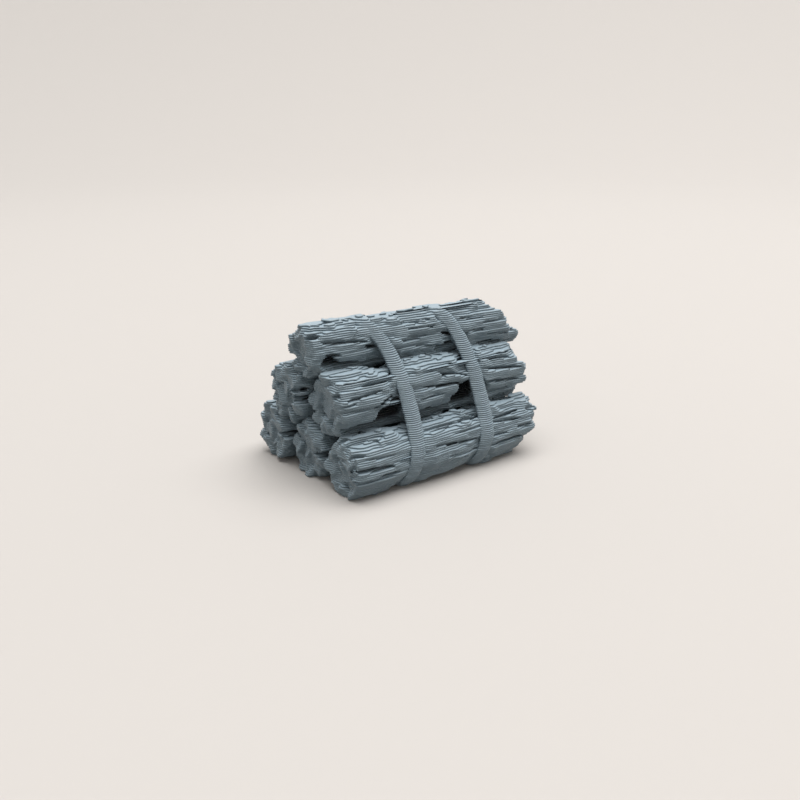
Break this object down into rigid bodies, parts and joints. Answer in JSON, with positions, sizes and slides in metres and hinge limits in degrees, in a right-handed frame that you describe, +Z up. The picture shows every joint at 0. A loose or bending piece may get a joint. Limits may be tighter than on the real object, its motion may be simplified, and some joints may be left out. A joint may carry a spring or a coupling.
{
  "type": "thatch bundle miniature",
  "caption": "Small stack of round straw sheaves lying on their sides in a pyramid, held together by straps round the whole stack.",
  "frame": {"origin": "centre of the footprint, on the surface the stack rests on", "axes": "+X along the sheaves to the right end seen from the front, -Y to the front, +Z up"},
  "size_m": [0.0228, 0.0166, 0.0136],
  "materials": {
    "thatch_straw": "satin, in fine printed layers",
    "tie_strap": "satin, in fine printed layers"
  },
  "bodies": {
    "root": {"sheaf_bottom_front": "thatch_straw", "sheaf_bottom_middle": "thatch_straw", "sheaf_bottom_back": "thatch_straw", "sheaf_middle_front": "thatch_straw", "sheaf_middle_back": "thatch_straw", "sheaf_top": "thatch_straw", "strap_left": "tie_strap", "strap_right": "tie_strap"}
  },
  "joints": []
}
